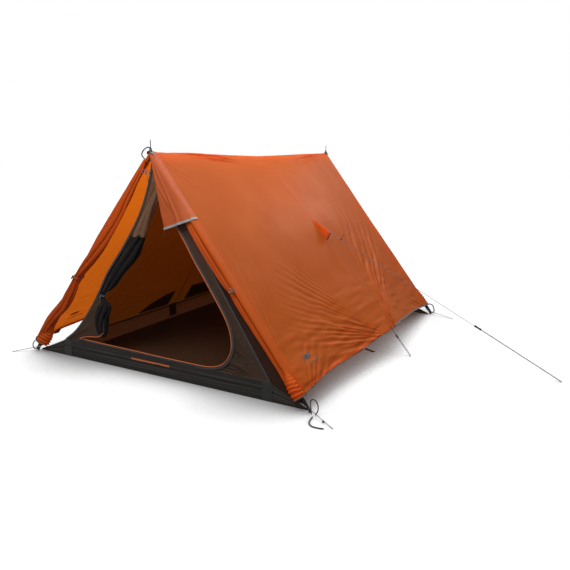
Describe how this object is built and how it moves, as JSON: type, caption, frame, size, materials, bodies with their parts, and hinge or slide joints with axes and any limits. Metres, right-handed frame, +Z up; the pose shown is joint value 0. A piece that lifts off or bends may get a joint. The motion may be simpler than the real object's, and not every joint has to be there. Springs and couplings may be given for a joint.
{
  "type": "ridge tent",
  "caption": "Pitched ridge tent on an A-frame at each end, with an outer fly, a hung inner tent, a tied-open front door, a bathtub floor and guylines.",
  "frame": {"origin": "on the ground under the middle of the groundsheet", "axes": "+Z up, +Y along the ridge towards the closed rear, so the open front faces -Y, and +X to the right of someone who looks in at the front door from outside"},
  "size_m": [3.5388, 2.2443, 1.256],
  "materials": {
    "fly_fabric": "coated ripstop, slight sheen",
    "door_fabric": "coated ripstop, inner side, matt",
    "inner_fabric": "thin ripstop, matt",
    "inner_mesh": "fine net",
    "floor_fabric": "coated, slight sheen",
    "pole_aluminium": "black anodised",
    "pin_steel": "satin",
    "black_plastic": "moulded",
    "zip_metal": "satin",
    "line_cord": "braided",
    "webbing": "woven",
    "grey_band": "woven, satin",
    "zip_orange": "zip coil and tape"
  },
  "bodies": {
    "tent": {"corner_line_front_left": "line_cord", "corner_line_front_right": "line_cord", "corner_line_rear_left": "line_cord", "corner_line_rear_right": "line_cord", "fly_panel_front_left": "fly_fabric", "fly_panel_front_right": "fly_fabric", "fly_panel_rear_left": "fly_fabric", "fly_panel_rear_right": "fly_fabric", "front_door_roll_left": "door_fabric", "front_door_roll_right": "door_fabric", "front_hub": "black_plastic", "front_left_pole_lower": "pole_aluminium", "front_left_pole_middle": "pole_aluminium", "front_left_pole_tip": "black_plastic", "front_left_pole_upper": "pole_aluminium", "front_left_sleeve": "fly_fabric", "front_pin": "pin_steel", "front_right_pole_lower": "pole_aluminium", "front_right_pole_middle": "pole_aluminium", "front_right_pole_tip": "black_plastic", "front_right_pole_upper": "pole_aluminium", "front_right_sleeve": "fly_fabric", "groundsheet": "floor_fabric", "guy_tab_left": "fly_fabric", "guy_tab_right": "fly_fabric", "guyline_left": "line_cord", "guyline_right": "line_cord", "hem_line_left": "line_cord", "hem_line_right": "line_cord", "inner_door_bundle": "inner_mesh", "inner_wall_front": "inner_mesh", "inner_wall_left": "inner_fabric", "inner_wall_rear": "inner_mesh", "inner_wall_right": "inner_fabric", "rear_door_left": "fly_fabric", "rear_door_right": "fly_fabric", "rear_hub": "black_plastic", "rear_left_pole_lower": "pole_aluminium", "rear_left_pole_middle": "pole_aluminium", "rear_left_pole_tip": "black_plastic", "rear_left_pole_upper": "pole_aluminium", "rear_left_sleeve": "fly_fabric", "rear_pin": "pin_steel", "rear_right_pole_lower": "pole_aluminium", "rear_right_pole_middle": "pole_aluminium", "rear_right_pole_tip": "black_plastic", "rear_right_pole_upper": "pole_aluminium", "rear_right_sleeve": "fly_fabric"},
    "front_hood": {"front_hood": "fly_fabric"},
    "front_cap": {"front_cap": "black_plastic"},
    "rear_cap": {"rear_cap": "black_plastic"},
    "guyline_slider_left": {"guyline_slider_left": "black_plastic"},
    "guyline_slider_right": {"guyline_slider_right": "black_plastic"},
    "hem_line_slider_left": {"hem_line_slider_left": "black_plastic"},
    "hem_line_slider_right": {"hem_line_slider_right": "black_plastic"},
    "inner_zip_slider": {"inner_zip_slider": "zip_metal"},
    "inner_zip_puller": {"inner_zip_puller": "zip_metal"},
    "rear_zip_slider": {"rear_zip_slider": "zip_metal"},
    "door_toggle_left": {"door_toggle_left": "black_plastic"},
    "door_toggle_right": {"door_toggle_right": "black_plastic"}
  },
  "joints": [
    {"name": "front_hood_lift", "type": "hinge", "parent": "tent", "child": "front_hood", "pos_m": [0.006, -1.068, 1.19], "axis": [-0.6154, 0, 0.7882], "range_deg": [0, 110]},
    {"name": "front_cap_lift", "type": "slide", "parent": "tent", "child": "front_cap", "axis": [0, 0, 1], "range_m": [0, 0.04]},
    {"name": "rear_cap_lift", "type": "slide", "parent": "tent", "child": "rear_cap", "axis": [0, 0, 1], "range_m": [0, 0.04]},
    {"name": "guyline_slider_left_slide", "type": "slide", "parent": "tent", "child": "guyline_slider_left", "axis": [-0.8322, 0, -0.5544], "range_m": [0, 0.4]},
    {"name": "hem_line_slider_left_slide", "type": "slide", "parent": "tent", "child": "hem_line_slider_left", "axis": [-0.6408, 0, -0.7677], "range_m": [0, 0.09]},
    {"name": "guyline_slider_right_slide", "type": "slide", "parent": "tent", "child": "guyline_slider_right", "axis": [0.892, 0, -0.452], "range_m": [0, 0.4]},
    {"name": "hem_line_slider_right_slide", "type": "slide", "parent": "tent", "child": "hem_line_slider_right", "axis": [0.6408, 0, -0.7677], "range_m": [0, 0.09]},
    {"name": "inner_zip_slide", "type": "slide", "parent": "tent", "child": "inner_zip_slider", "axis": [0.9999, 0, -0.0107], "range_m": [0, 0.86]},
    {"name": "inner_zip_puller_swing", "type": "hinge", "parent": "inner_zip_slider", "child": "inner_zip_puller", "pos_m": [-0.556, -1.0497, 0.124], "axis": [1, 0, 0], "range_deg": [-150, 0]},
    {"name": "rear_zip_slide", "type": "slide", "parent": "tent", "child": "rear_zip_slider", "axis": [0, 0, 1], "range_m": [0, 0.95]},
    {"name": "door_toggle_left_turn", "type": "hinge", "parent": "tent", "child": "door_toggle_left", "pos_m": [-0.52805, -1.122, 0.50749], "axis": [0, 1, 0], "range_deg": [-60, 60]},
    {"name": "door_toggle_right_turn", "type": "hinge", "parent": "tent", "child": "door_toggle_right", "pos_m": [0.49728, -1.082, 0.5469], "axis": [0, 1, 0], "range_deg": [-60, 60]}
  ]
}
